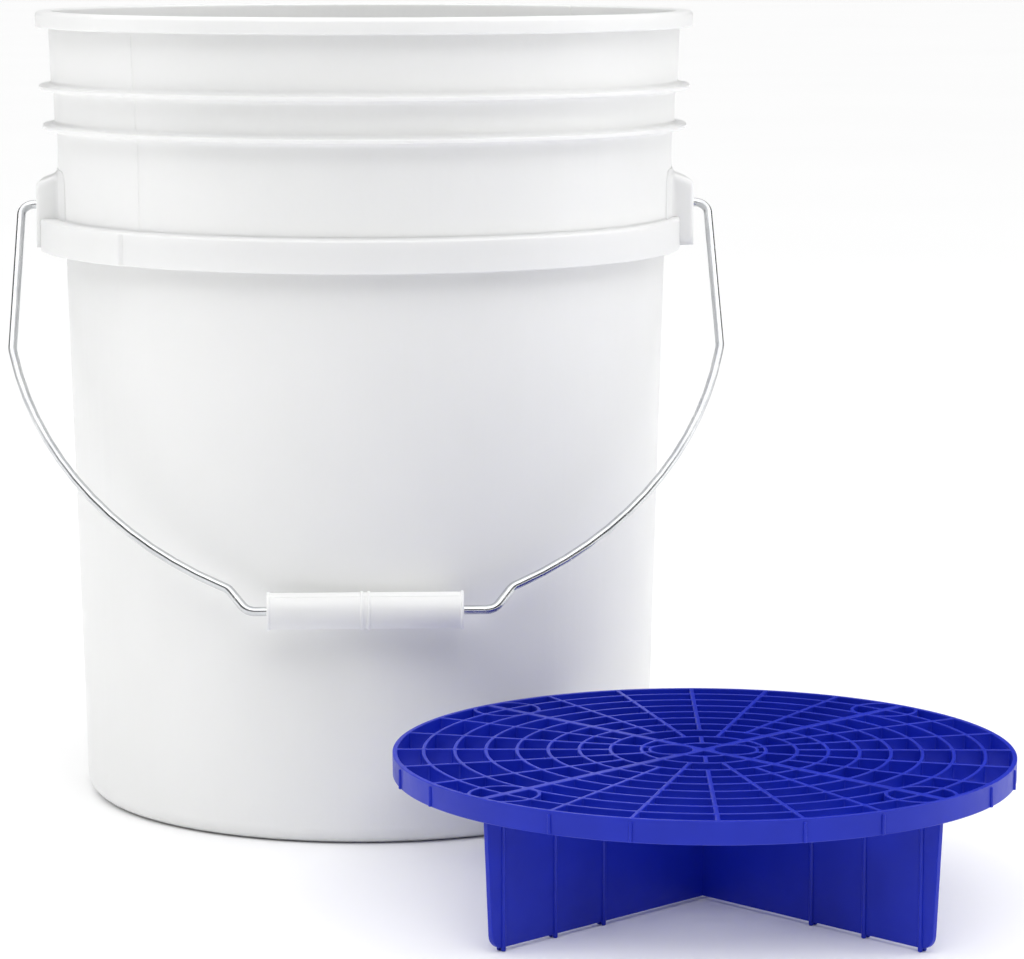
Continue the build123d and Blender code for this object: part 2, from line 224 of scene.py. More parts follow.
class Shape:
    """Points and faces that grow into one mesh object."""

    def __init__(self) -> None:
        """Starts empty."""
        self.points: list[tuple[float, ...]] = []
        self.faces: list[list[int]] = []

    def grid(self, rows: Array, around: bool = True, closed: bool = False) -> Array:
        """Adds rows of points and the faces between them.

        Args:
            rows: Points by row and place in the row.
            around: Whether each row closes on itself.
            closed: Whether the last row joins the first.

        Returns:
            The points' numbers, by row and place.
        """
        count, width = rows.shape[:2]
        numbers = len(self.points) + np.arange(count * width).reshape(count, width)
        self.points += [tuple(point) for point in rows.reshape(-1, 3).tolist()]
        low = numbers if closed else numbers[:-1]
        high = np.roll(numbers, -1, 0) if closed else numbers[1:]
        if not around:
            quads = (low[:, :-1], low[:, 1:], high[:, 1:], high[:, :-1])
        else:
            quads = (low, np.roll(low, -1, 1), np.roll(high, -1, 1), high)
        self.faces += np.stack(quads, -1).reshape(-1, 4).tolist()
        return numbers

    def caps(self, numbers: Array) -> None:
        """Closes the first and the last row of points with flat faces."""
        self.faces += [numbers[0].tolist(), numbers[-1][::-1].tolist()]

    def spin(self, profile: list[Point], place: Matrix, around: int) -> None:
        """Turns a profile about an axis.

        Args:
            profile: Points as (radius, height along the axis).
            place: Puts the axis, local Z, where it belongs.
            around: Number of sides.
        """
        turn = np.arange(around) * tau / around
        spots = np.array(profile)
        rows = np.stack([
            spots[:, :1] * np.cos(turn), spots[:, :1] * np.sin(turn), np.repeat(spots[:, 1:], around, 1),
        ], -1)
        frame_of = np.array(place)
        self.caps(self.grid(rows @ frame_of[:3, :3].T + frame_of[:3, 3]))

    def tube(self, path: list[Vector], radius: float, around: int = 20) -> None:
        """Sweeps a circle along a path that lies in one plane.

        Args:
            path: The centre line.
            radius: The tube's radius.
            around: Number of sides.
        """
        tangents = [(b - a).normalized() for a, b in zip(path, path[1:])]
        steps = list(zip([tangents[0]] + tangents, tangents + [tangents[-1]]))
        normal = max((a.cross(b) for a, b in steps), key=lambda cross: cross.length).normalized()
        rows = []
        for spot, (before, after) in zip(path, steps):
            along = (before + after).normalized()
            across = along.cross(normal)
            rows.append([
                spot + radius * (normal * cos(turn) + across * sin(turn))
                for turn in (tau * k / around for k in range(around))
            ])
        self.caps(self.grid(np.array(rows)))

    def slab(self, outline: list[Point], thickness: float, edge: float, place: Matrix) -> None:
        """Adds a flat plate with softened edges.

        Args:
            outline: The plate's corners, counterclockwise in its own XY plane.
            thickness: The plate's thickness, half on each side of that plane.
            edge: Radius of its edges.
            place: Puts the plate where it belongs.
        """
        spots = np.array(outline)
        run = np.roll(spots, -1, 0) - spots
        outward = np.stack([run[:, 1], -run[:, 0]], 1) / np.hypot(*run.T)[:, None]
        miter = outward + np.roll(outward, 1, 0)
        miter *= 2 / (miter ** 2).sum(1, keepdims=True)
        rows = []
        for side in (-1, 1):
            for turn in SOFT_EDGE[::-side]:
                inset = spots - miter * edge * (1 - sin(turn))
                height = side * (thickness / 2 - edge * (1 - cos(turn)))
                rows.append(np.column_stack([inset, np.full(len(spots), height)]))
        frame_of = np.array(place)
        self.caps(self.grid(np.array(rows) @ frame_of[:3, :3].T + frame_of[:3, 3]))

    def build(self, name: str, material: Material, sharp: float = 40.0) -> Piece:
        """Makes the mesh object.

        Args:
            name: The piece's name.
            material: The piece's material.
            sharp: Edges that turn by more than this many degrees stay crisp.

        Returns:
            The new object.
        """
        mesh = bpy.data.meshes.new(name)
        mesh.from_pydata(self.points, [], self.faces)
        work = bmesh.new()
        work.from_mesh(mesh)
        bmesh.ops.recalc_face_normals(work, faces=work.faces)
        work.to_mesh(mesh)
        work.free()
        mesh.shade_smooth()
        mesh.set_sharp_from_angle(angle=radians(sharp))
        mesh.materials.append(material)
        piece = bpy.data.objects.new(name, mesh)
        bpy.context.scene.collection.objects.link(piece)
        normals = piece.modifiers.new("even_normals", "WEIGHTED_NORMAL")
        normals.keep_sharp = True
        return piece


def settle(piece: Piece, body: Body, slot: str, *nodes: str) -> Piece:
    """Gives a finished piece its place in the frame.

    Args:
        piece: The piece.
        body: The body that carries it.
        slot: Its material slot in the record; not used.
        nodes: The plain nodes that it stands for.

    Returns:
        The same piece.
    """
    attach(piece, body.value)
    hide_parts(*nodes)
    log.info("%s: %d faces, rides on %s", piece.name, len(piece.data.polygons), body.value)
    return piece


# --- Finishes -----------------------------


class Recipe:
    """A material under construction."""

    ramp_ends: Point = (0.32, 0.68)

    def __init__(self, name: str) -> None:
        """Starts a material with one principled shader.

        Args:
            name: The material's name.
        """
        self.material = bpy.data.materials.new(name)
        self.material.use_nodes = True
        self.tree = self.material.node_tree
        self.shader = self.tree.nodes["Principled BSDF"]
        self.space = self.tree.nodes.new("ShaderNodeTexCoord").outputs["Object"]

    def set(self, **values: object) -> None:
        """Sets the shader's own sockets; a double underscore in a name stands for a space."""
        for name, value in values.items():
            self.shader.inputs[name.replace("__", " ")].default_value = value

    def feed(self, socket: str, source: Socket) -> None:
        """Links a source to one of the shader's sockets."""
        self.tree.links.new(source, self.shader.inputs[socket])

    def noise(self, size: float, detail: float = 3.0, stretch: Colour = (1, 1, 1)) -> Socket:
        """Cloudy noise in the piece's own space.

        Args:
            size: Width of a cloud.
            detail: Octaves of finer noise.
            stretch: How much wider a cloud is along each axis.

        Returns:
            The noise's value.
        """
        mapping = self.tree.nodes.new("ShaderNodeMapping")
        mapping.inputs["Scale"].default_value = [1 / share for share in stretch]
        node = self.tree.nodes.new("ShaderNodeTexNoise")
        node.inputs["Scale"].default_value = 1 / size
        node.inputs["Detail"].default_value = detail
        self.tree.links.new(self.space, mapping.inputs["Vector"])
        self.tree.links.new(mapping.outputs["Vector"], node.inputs["Vector"])
        return node.outputs["Fac"]

    def span(self, source: Socket, start: Point, result: Point) -> Socket:
        """Maps one range of a value onto another.

        Args:
            source: The value.
            start: The range that it is read in.
            result: The range that it is given.

        Returns:
            The mapped value.
        """
        node = self.tree.nodes.new("ShaderNodeMapRange")
        for name, value in zip(("From Min", "From Max", "To Min", "To Max"), (*start, *result)):
            node.inputs[name].default_value = value
        self.tree.links.new(source, node.inputs["Value"])
        return node.outputs["Result"]

    def tint(self, source: Socket, dark: Colour, light: Colour) -> Socket:
        """A colour between two, by a value.

        Args:
            source: The value, about 0.3 to 0.7 in cloudy noise.
            dark: The colour at the low end.
            light: The colour at the high end.

        Returns:
            The colour.
        """
        ramp = self.tree.nodes.new("ShaderNodeValToRGB")
        low, high = ramp.color_ramp.elements
        low.position, high.position = self.ramp_ends
        low.color, high.color = (*dark, 1), (*light, 1)
        self.tree.links.new(source, ramp.inputs["Fac"])
        return ramp.outputs["Color"]

    def relief(self, *layers: tuple[Socket, float]) -> None:
        """Gives the surface its small relief.

        Args:
            layers: Pairs of a value and the relief's depth.
        """
        below = None
        for source, depth in layers:
            bump = self.tree.nodes.new("ShaderNodeBump")
            bump.inputs["Distance"].default_value = depth
            self.tree.links.new(source, bump.inputs["Height"])
            if below:
                self.tree.links.new(below, bump.inputs["Normal"])
            below = bump.outputs["Normal"]
        self.feed("Normal", below)


@dataclass(frozen=True)
class MilkyPolyethylene:
    """Natural white polyethylene: translucent, satin, with faint flow lines."""

    name: str = "milky_polyethylene"
    light: Colour = (0.868, 0.87, 0.866)
    dark: Colour = (0.838, 0.842, 0.838)
    glow_depth: float = 0.0035

    def material(self) -> Material:
        """Builds the material."""
        mix = Recipe(self.name)
        mix.feed("Base Color", mix.tint(mix.noise(0.11), self.dark, self.light))
        mix.feed("Roughness", mix.span(mix.noise(0.02, 5), CLOUD, (0.33, 0.45)))
        mix.set(IOR=1.5, Specular__IOR__Level=0.35, Subsurface__Weight=0.55)
        mix.set(Subsurface__Radius=(1.0, 1.0, 0.96), Subsurface__Scale=self.glow_depth)
        flow = mix.noise(0.012, 2, (1, 1, 18))
        grain = mix.noise(0.0011, 2)
        mix.relief((flow, 0.00035), (grain, 0.00003))
        return mix.material


@dataclass(frozen=True)
class ZincPlate:
    """Bright zinc on drawn steel wire."""

    name: str = "zinc_plate"
    light: Colour = (0.66, 0.67, 0.68)
    dark: Colour = (0.55, 0.56, 0.58)

    def material(self) -> Material:
        """Builds the material."""
        mix = Recipe(self.name)
        mix.set(Metallic=1.0)
        mix.feed("Base Color", mix.tint(mix.noise(0.009, 4), self.dark, self.light))
        mix.feed("Roughness", mix.span(mix.noise(0.003, 4), CLOUD, (0.2, 0.28)))
        mix.relief((mix.noise(0.0008, 3), 0.000004))
        return mix.material


@dataclass(frozen=True)
class BluePolypropylene:
    """Deep blue polypropylene with a soft sheen from the mould and light handling marks."""

    name: str = "blue_polypropylene"
    light: Colour = (0.008, 0.024, 0.49)
    dark: Colour = (0.006, 0.019, 0.41)
    glow_depth: float = 0.0012

    def material(self) -> Material:
        """Builds the material."""
        mix = Recipe(self.name)
        mix.feed("Base Color", mix.tint(mix.noise(0.03, 4), self.dark, self.light))
        mix.feed("Roughness", mix.span(mix.noise(0.006, 4), CLOUD, (0.36, 0.44)))
        mix.set(IOR=1.49, Specular__IOR__Level=0.3, Subsurface__Weight=0.12)
        mix.set(Subsurface__Radius=(0.2, 0.35, 1.0), Subsurface__Scale=self.glow_depth)
        mix.relief((mix.noise(0.02, 1), 0.00003), (mix.noise(0.0009, 2), 0.000006))
        return mix.material


# --- The pail -----------------------------


@dataclass
class Pail:
    """The pail's moulding: shell, bail band and two ears."""

    material: Material
    slot: str = "white_polyethylene"
    wall: float = 0.0023
    foot_round: float = 0.008
    foot_land: float = 0.0035
    gate_radius: float = 0.004
    gate_depth: float = 0.0008
    mark_radius: float = 0.052
    mark_width: float = 0.003
    mark_depth: float = 0.0007
    mark_slope: float = 0.0005
    crisp: float = 0.0004
    ring_fillet: float = 0.0018
    ring_blunt: float = 0.0004
    ring_soft: float = 0.0007
    neck_step: float = 0.0028
    neck_flare: float = 0.0005
    ring_reach: float = 0.0066
    columns: int = 288
    parting_angle: float = radians(225)
    parting_height: float = 0.0004
    parting_width: float = radians(0.12)
    band_reach: float = 0.0044
    band_step: float = 0.0046
    band_bury: float = 0.0006
    band_fillet: float = 0.0014
    pad_reach: float = 0.0015
    pad_angle: float = radians(42.3)
    pad_ramp: float = radians(0.35)
    ear_rise: float = 0.0154
    ear_edge: float = 0.002
    ear_fall: float = 0.004
    ear_flare: float = 0.0022
    ear_foot: float = 0.017
    ear_foot_sheet: float = 0.0008
    ear_corner: float = 0.0032
    ear_corner_limits: Point = (0.0006, 0.007)
    hole_radius: float = 0.00235
    hole_lip: float = 0.2
    weld: float = 0.000001

    def __post_init__(self) -> None:
        """Reads the frame's boxes."""
        self.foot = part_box("bucket_foot")
        self.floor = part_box("bucket_floor")
        self.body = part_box("bucket_lower_wall")[1]
        self.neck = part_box("bucket_upper_wall")[1]
        self.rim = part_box("bucket_rim")
        self.low_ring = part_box("lower_stacking_ring")
        self.high_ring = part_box("upper_stacking_ring")
        self.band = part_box("bail_band")
        self.ear_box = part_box("right_bail_ear")
        self.neck_radius = self.body.x + self.neck_step
        self.step_top = self.band[1].z - self.band_step
        self.pivot = Vector(frame["record"]["behaviour"]["joints"][0]["pos_m"])

    def ring_corners(self, ring: tuple[Vector, Vector], below: float, above: float) -> list[Corner]:
        """A stacking ring's corners, from the wall under it to the wall above it.

        Args:
            ring: The ring's box.
            below: The wall's radius under the ring.
            above: The wall's radius above it.

        Returns:
            Corners as (radius, height, rounding).
        """
        low, high = ring[0].z, ring[1].z
        tip, blunt, soft = ring[1].x, self.ring_blunt, self.ring_soft
        return [
            (below, low, self.ring_fillet), (tip, low + blunt, soft), (tip, high - blunt, soft),
            (above, high, self.ring_fillet),
        ]

    def profile(self) -> list[Point]:
        """The closed section of the shell, from the floor's underside round to its top."""
        base, wall = self.foot[1].x, self.wall
        lift, floor_top = self.floor[0].z, self.floor[1].z
        toe = base - self.foot_round - self.foot_land
        neck_top = self.neck_radius + self.neck_flare
        between = self.high_ring[1].x - self.ring_reach
        between_low = between - self.neck_flare
        mouth = self.neck.x
        above = between + (between_low - neck_top)
        rim, top = self.rim[1].x, self.rim[1].z
        gate, crisp, slope = self.gate_radius, self.crisp, self.mark_slope
        mark, mark_end = self.mark_radius, self.mark_radius + self.mark_width
        mark_top = lift - self.mark_depth
        outside = [
            (gate, lift - self.gate_depth, 0), (1.5 * gate, lift, 0.0006), (mark, lift, crisp),
            (mark + slope, mark_top, crisp), (mark_end - slope, mark_top, crisp), (mark_end, lift, crisp),
            (toe - 0.001, lift, 0.0008), (toe, 0.0, 0.0006), (base, 0.0, self.foot_round),
            (self.body.x, self.body.z, 0.03), (self.neck_radius, self.step_top, 0.004),
            *self.ring_corners(self.low_ring, neck_top, between_low),
            *self.ring_corners(self.high_ring, between, above),
            (mouth, top - wall, 0.0016), (rim - wall, top - wall, 0.0012),
            (rim - wall, self.rim[0].z, 0.0005), (rim, self.rim[0].z, 0.0009), (rim, top, 0.0022),
        ]
        inside = [
            (mouth - wall, top, 0.0012), (above - wall, self.high_ring[1].z, 0.004),
            (neck_top - wall, self.low_ring[0].z, 0.004), (self.neck_radius - wall, self.step_top, 0.006),
            (self.body.x - wall, self.body.z, 0.006), (base - wall, floor_top, self.foot_round - wall),
            (gate, floor_top, 0),
        ]
        return rounded(outside + inside, steps=6)

    def shell(self) -> Piece:
        """Builds the wall, floor, rings and rim as one closed skin."""
        angles = set(np.arange(self.columns) * tau / self.columns)
        for seam in (self.parting_angle, self.parting_angle - pi):
            angles |= {seam + step * self.parting_width for step in (-2, -1, 0, 1, 2)}
        turn = np.array(sorted(angles))
        profile = np.array(self.profile())
        radius = np.repeat(profile[:, :1], len(turn), 1)
        height = np.repeat(profile[:, 1:], len(turn), 1)
        gap = np.minimum(np.abs(turn - self.parting_angle), np.abs(turn - self.parting_angle + pi))
        ridge = self.parting_height * np.clip(1.5 - gap / self.parting_width, 0, 1)
        neck = (height > self.step_top - 0.001) & (radius > self.neck_radius - 0.0003)
        open_air = (height < self.rim[0].z) | (radius < self.neck.x + 0.0002)
        radius = radius + ridge * (neck & open_air & (height < self.rim[1].z - 0.0001))
        shape = Shape()
        rows = np.stack([radius * np.cos(turn), radius * np.sin(turn), height], -1)
        shape.caps(shape.grid(rows))
        piece = shape.build("pail_shell", self.material, 50)
        return settle(piece, Body.BUCKET, self.slot, "bucket_floor", "bucket_foot", "bucket_lower_wall",
                      "bucket_upper_wall", "bucket_rim", "lower_stacking_ring", "upper_stacking_ring")

    def band_section(self, pad: float) -> list[Point]:
        """The skirt's closed section.

        Args:
            pad: How far its face stands out beyond the plain band's.

        Returns:
            Points as (radius, height).
        """
        low, top = self.band[0].z, self.band[1].z
        outer = self.neck_radius + self.band_reach + pad
        inner = self.neck_radius + self.band_reach - self.wall
        bury, fillet = self.band_bury, self.band_fillet
        end = top + fillet + self.crisp
        return rounded([
            (self.body.x - bury, top - self.wall, 0), (inner, top - self.wall, 0.0006),
            (inner, low, 0.0005), (outer, low, 0.0006), (outer, top, 0.0012),
            (self.neck_radius, top, fillet), (self.neck_radius, end, 0), (self.neck_radius - bury, end, 0),
        ])

    def pad(self, turn: float, start: float) -> float:
        """How far the band's face stands out beyond its plain part, near the ear where it is thicker.

        Args:
            turn: The place, as an angle from the ear's middle.
            start: The angle at which the band leaves the ear.

        Returns:
            The extra reach.
        """
        share = min(1.0, max(0.0, (self.pad_angle + self.pad_ramp - turn) / (2 * self.pad_ramp)))
        corner = hypot(self.ear_box[1].x - self.ear_edge, self.ear_box[1].y)
        sweep = corner - self.neck_radius - self.band_reach - self.pad_reach
        near = max(0.0, (self.pad_angle - turn) / (self.pad_angle - start))
        return share * self.pad_reach + sweep * near ** 2

    def skirt(self) -> Piece:
        """Builds the bail band's two lengths, each from ear to ear."""
        shape = Shape()
        start = asin((self.ear_box[1].y - self.wall / 2) / self.neck_radius)
        edge = self.pad_angle + self.pad_ramp * np.linspace(-1, 1, 5)
        for half in (0, 1):
            rows = []
            for turn in np.sort(np.append(np.linspace(start, pi - start, 150), edge)):
                section = np.array(self.band_section(self.pad(turn, start)))
                angle = turn + half * pi
                rows.append(np.column_stack([
                    section[:, 0] * cos(angle), section[:, 0] * sin(angle), section[:, 1]]))
            shape.caps(shape.grid(np.array(rows)))
        return settle(shape.build("bail_band_skirt", self.material), Body.BUCKET, self.slot, "bail_band")

    def ear_root(self) -> float:
        """How far out the pail's wall stands beside an ear."""
        return sqrt(self.neck_radius ** 2 - self.ear_box[1].y ** 2)

    def hoop(self, inset: float, out: float) -> list[Corner]:
        """The outline over an ear at one depth: up one side, over the top and down the other.

        Args:
            inset: How far its sides lie inside the ear's own, below zero where the foot spreads.
            out: Its distance from the pail's middle.

        Returns:
            The outline's points.
        """
        face, root = self.ear_box[1].x, self.ear_root()
        low, crest = self.ear_box[0].z, self.pivot.z + self.ear_rise
        fall = self.ear_fall * max(0.0, (out - root) / (face - root))
        high = crest - fall - max(inset, -self.ear_flare)
        wide = self.ear_box[1].y - inset
        least, most = self.ear_corner_limits
        turn = min(most, max(least, self.ear_corner - inset))
        arch = rounded([(-wide, low, 0), (-wide, high, turn), (wide, high, turn), (wide, low, 0)], steps=8)
        shares = np.linspace(0, 1, 8)[1:-1]
        half = len(arch) // 2
        rise = [(-wide, low + (arch[1][1] - low) * share) for share in shares]
        over = [(wide * (2 * share - 1), high) for share in (shares * (1 - turn / wide) + turn / wide / 2)]
        sink = [(-y, z) for y, z in reversed(rise)]
        path = [arch[0], *rise, *arch[1:half], *over, *arch[half:-1], *sink, arch[-1]]
        return [(out, y, z) for y, z in path]

    def ear(self, side: Side) -> Piece:
        """Builds one ear: a hollow block on a thin foot that lies on the wall, open below.

        Args:
            side: The side that it stands on.

        Returns:
            The ear.
        """
        face, half_width = self.ear_box[1].x, self.ear_box[1].y
        low, edge, flare = self.ear_box[0].z, self.ear_edge, self.ear_flare
        root, sheet, spread = self.ear_root(), self.ear_foot_sheet, flare + self.ear_foot
        foot = root + sheet
        steps = [(edge * (1 - sin(turn)), face - edge * (1 - cos(turn))) for turn in FINE_EDGE]
        steps.append((0.0, foot + flare + 0.001))
        steps += [(-flare * (1 - cos(turn)), foot + flare * (1 - sin(turn))) for turn in FINE_EDGE]
        steps += [(-flare - share * self.ear_foot, foot) for share in (0.25, 0.5, 0.75, 1.0)]
        steps += [(-spread - sheet, foot - sheet / 2), (-spread - 1.2 * sheet, root - self.wall / 2)]
        grid = np.array([self.hoop(inset, out) for inset, out in steps])
        curve = np.sqrt(self.neck_radius ** 2 - grid[:, :, 1] ** 2) - root
        depth = np.clip((face - grid[:, :, 0]) / (face - foot - flare), 0, 1)
        grid[:, :, 0] += curve * depth ** 2
        shape = Shape()
        shape.grid(grid, around=False)
        bottom = [(face, y, low) for y in np.linspace(half_width - edge, edge - half_width, 12)[1:-1]]
        loop = np.array([*grid[0], *bottom])
        aim = np.arctan2(loop[:, 2] - self.pivot.z, loop[:, 1])
        hole = np.column_stack([
            np.full(len(loop), face), self.hole_radius * np.cos(aim),
            self.pivot.z + self.hole_radius * np.sin(aim)])
        lip = hole + (hole - [face, 0, self.pivot.z]) * self.hole_lip
        hole[:, 0] -= self.crisp
        shape.grid(np.array([loop, lip, hole]))
        points = np.array(shape.points)
        points[:, :2] *= side.value
        shape.points = [tuple(point) for point in points.tolist()]
        piece = shape.build(f"{side.name.lower()}_ear_block", self.material, 50)
        work = bmesh.new()
        work.from_mesh(piece.data)
        bmesh.ops.remove_doubles(work, verts=work.verts, dist=self.weld)
        bmesh.ops.recalc_face_normals(work, faces=work.faces)
        probe = max(work.faces, key=lambda f: f.calc_center_median().x * side.value)
        if probe.normal.x * side.value < 0:
            bmesh.ops.reverse_faces(work, faces=work.faces)
        work.to_mesh(piece.data)
        work.free()
        solid = piece.modifiers.new("sheet", "SOLIDIFY")
        solid.thickness, solid.offset = self.wall, -1
        return settle(piece, Body.BUCKET, self.slot, f"{side.name.lower()}_bail_ear")

    def build(self) -> None:
        """Builds the whole moulding."""
        self.shell()
        self.skirt()
        for side in Side:
            self.ear(side)


# --- The bail -----------------------------


@dataclass
class Bail:
    """The bent wire and the roll grip on it."""

    wire: Material
    plastic: Material
    wire_radius: float = 0.002
    shank_gap: float = 0.0058
    shank_length: float = 0.082
    shank_splay: float = 0.0012
    bow_turn: float = radians(51.2)
    jog_width: float = 0.0082
    jog_drop: float = 0.0116
    run_spare: float = 0.0111
    bend_room: float = 0.003
    ear_bend: float = 0.006
    shank_bend: float = 0.01
    jog_bend: float = 0.007
    head_radius: float = 0.004
    head_length: float = 0.0022
    head_gap: float = 0.0005
    head_core: float = 0.0004
    head_round: float = 0.0007
    ear_sheet: float = 0.0023
    grip_bore: float = 0.0024
    rim_width: float = 0.0012
    rim_height: float = 0.0005
    rim_soft: float = 0.00022
    bore_edge: float = 0.0004
    rib_spacing: float = 0.003
    seam_height: float = 0.00018
    seams: Point = (150.0, 330.0)

    def __post_init__(self) -> None:
        """Reads the frame's boxes and joints."""
        joints = {joint["name"]: joint for joint in frame["joints"]}
        self.pivot = Vector(joints["bail_swing"]["pos_m"])
        self.middle = Vector(joints["grip_spin"]["pos_m"])
        self.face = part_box("right_bail_ear")[1].x
        self.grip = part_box("hand_grip")
        self.arm = self.middle - self.pivot
        self.head = self.face - self.ear_sheet - self.head_gap

    def route(self) -> list[Vector]:
        """The wire's centre line, from ear to ear."""
        down = self.arm.normalized()
        arm = self.arm.length
        shank = self.face + self.shank_gap + self.wire_radius
        run = (self.grip[1].x - self.grip[0].x) / 2 + self.run_spare
        start = Vector((shank + self.shank_splay, self.shank_length))
        end = Vector((run + self.jog_width, arm - self.jog_drop))
        chord = end - start
        tangent = tan(self.bow_turn / 2)
        corner = (start + end) / 2 + Vector((chord.y, -chord.x)) / 2 * tangent
        bow = (chord.length / 2 / cos(self.bow_turn / 2) - self.bend_room) / tangent
        half = [Vector((self.head, 0)), Vector((shank, 0)), start, corner, end, Vector((run, arm))]
        flat = half + [Vector((-spot.x, spot.y)) for spot in reversed(half)]
        corners = [self.pivot + Vector((spot.x, 0, 0)) + down * spot.y for spot in flat]
        bends = [self.ear_bend, self.shank_bend, bow, self.jog_bend, self.jog_bend]
        return bent(corners, bends + bends[::-1], steps=14)

    def bail(self) -> Piece:
        """Builds the wire with its upset heads."""
        shape = Shape()
        shape.tube(self.route(), self.wire_radius)
        half = self.head_length / 2
        edge = [(self.head_radius, end, self.head_round) for end in (-half, half)]
        corners = [(self.head_core, -half, 0), *edge, (self.head_core, half, 0)]
        across = Matrix.Rotation(pi / 2, 4, "Y")
        for side in Side:
            centre = self.pivot + Vector((side.value * (self.head - half), 0, 0))
            shape.spin(rounded(corners, 4), Matrix.Translation(centre) @ across, 28)
        return settle(shape.build("bail_bow", self.wire, 60), Body.BAIL, "zinc_plated_wire", "bail_wire")

    def roll(self) -> Piece:
        """Builds the grip: end rims, two ribs in the middle and a moulding seam along it."""
        low, high = self.grip
        half = (high.x - low.x) / 2
        proud = (high.z - low.z) / 2
        body = proud - self.rim_height
        centre = Vector(((low.x + high.x) / 2, self.middle.y, self.middle.z))
        rib, soft = self.rim_width / 2, self.rim_soft
        ribs = [-half + rib, -self.rib_spacing / 2, self.rib_spacing / 2, half - rib]
        sides = ((body, -rib), (proud, -rib), (proud, rib), (body, rib))
        steps = [(radius, place + shift, soft) for place in ribs for radius, shift in sides]
        first, last = ((self.grip_bore, end, self.bore_edge) for end in (-half, half))
        outline = np.array(rounded([first, *steps[1:-1], last], 4))
        beside = [seam + step for seam in self.seams for step in (-1.8, -1.0, 1.0, 1.8)]
        degrees = np.sort(np.concatenate([np.arange(0, 360, 5.0), beside]))
        gap = np.min([np.abs(degrees - seam) for seam in self.seams], 0)
        ridge = (gap < 1.1) * self.seam_height
        turn = np.radians(degrees)
        outside = (outline[:, :1] > body - 1e-6) & (outline[:, :1] < body + 1e-4)
        radius = outline[:, :1] + ridge * outside
        along = np.repeat(outline[:, 1:], len(turn), 1)
        rows = np.stack([along, radius * np.sin(turn), radius * np.cos(turn)], -1)
        shape = Shape()
        shape.grid(rows + np.array(centre), closed=True)
        return settle(shape.build("roll_grip", self.plastic), Body.GRIP, "grip_polyethylene", "hand_grip")

    def build(self) -> None:
        """Builds both pieces."""
        self.bail()
        self.roll()


# --- The grit guard -----------------------


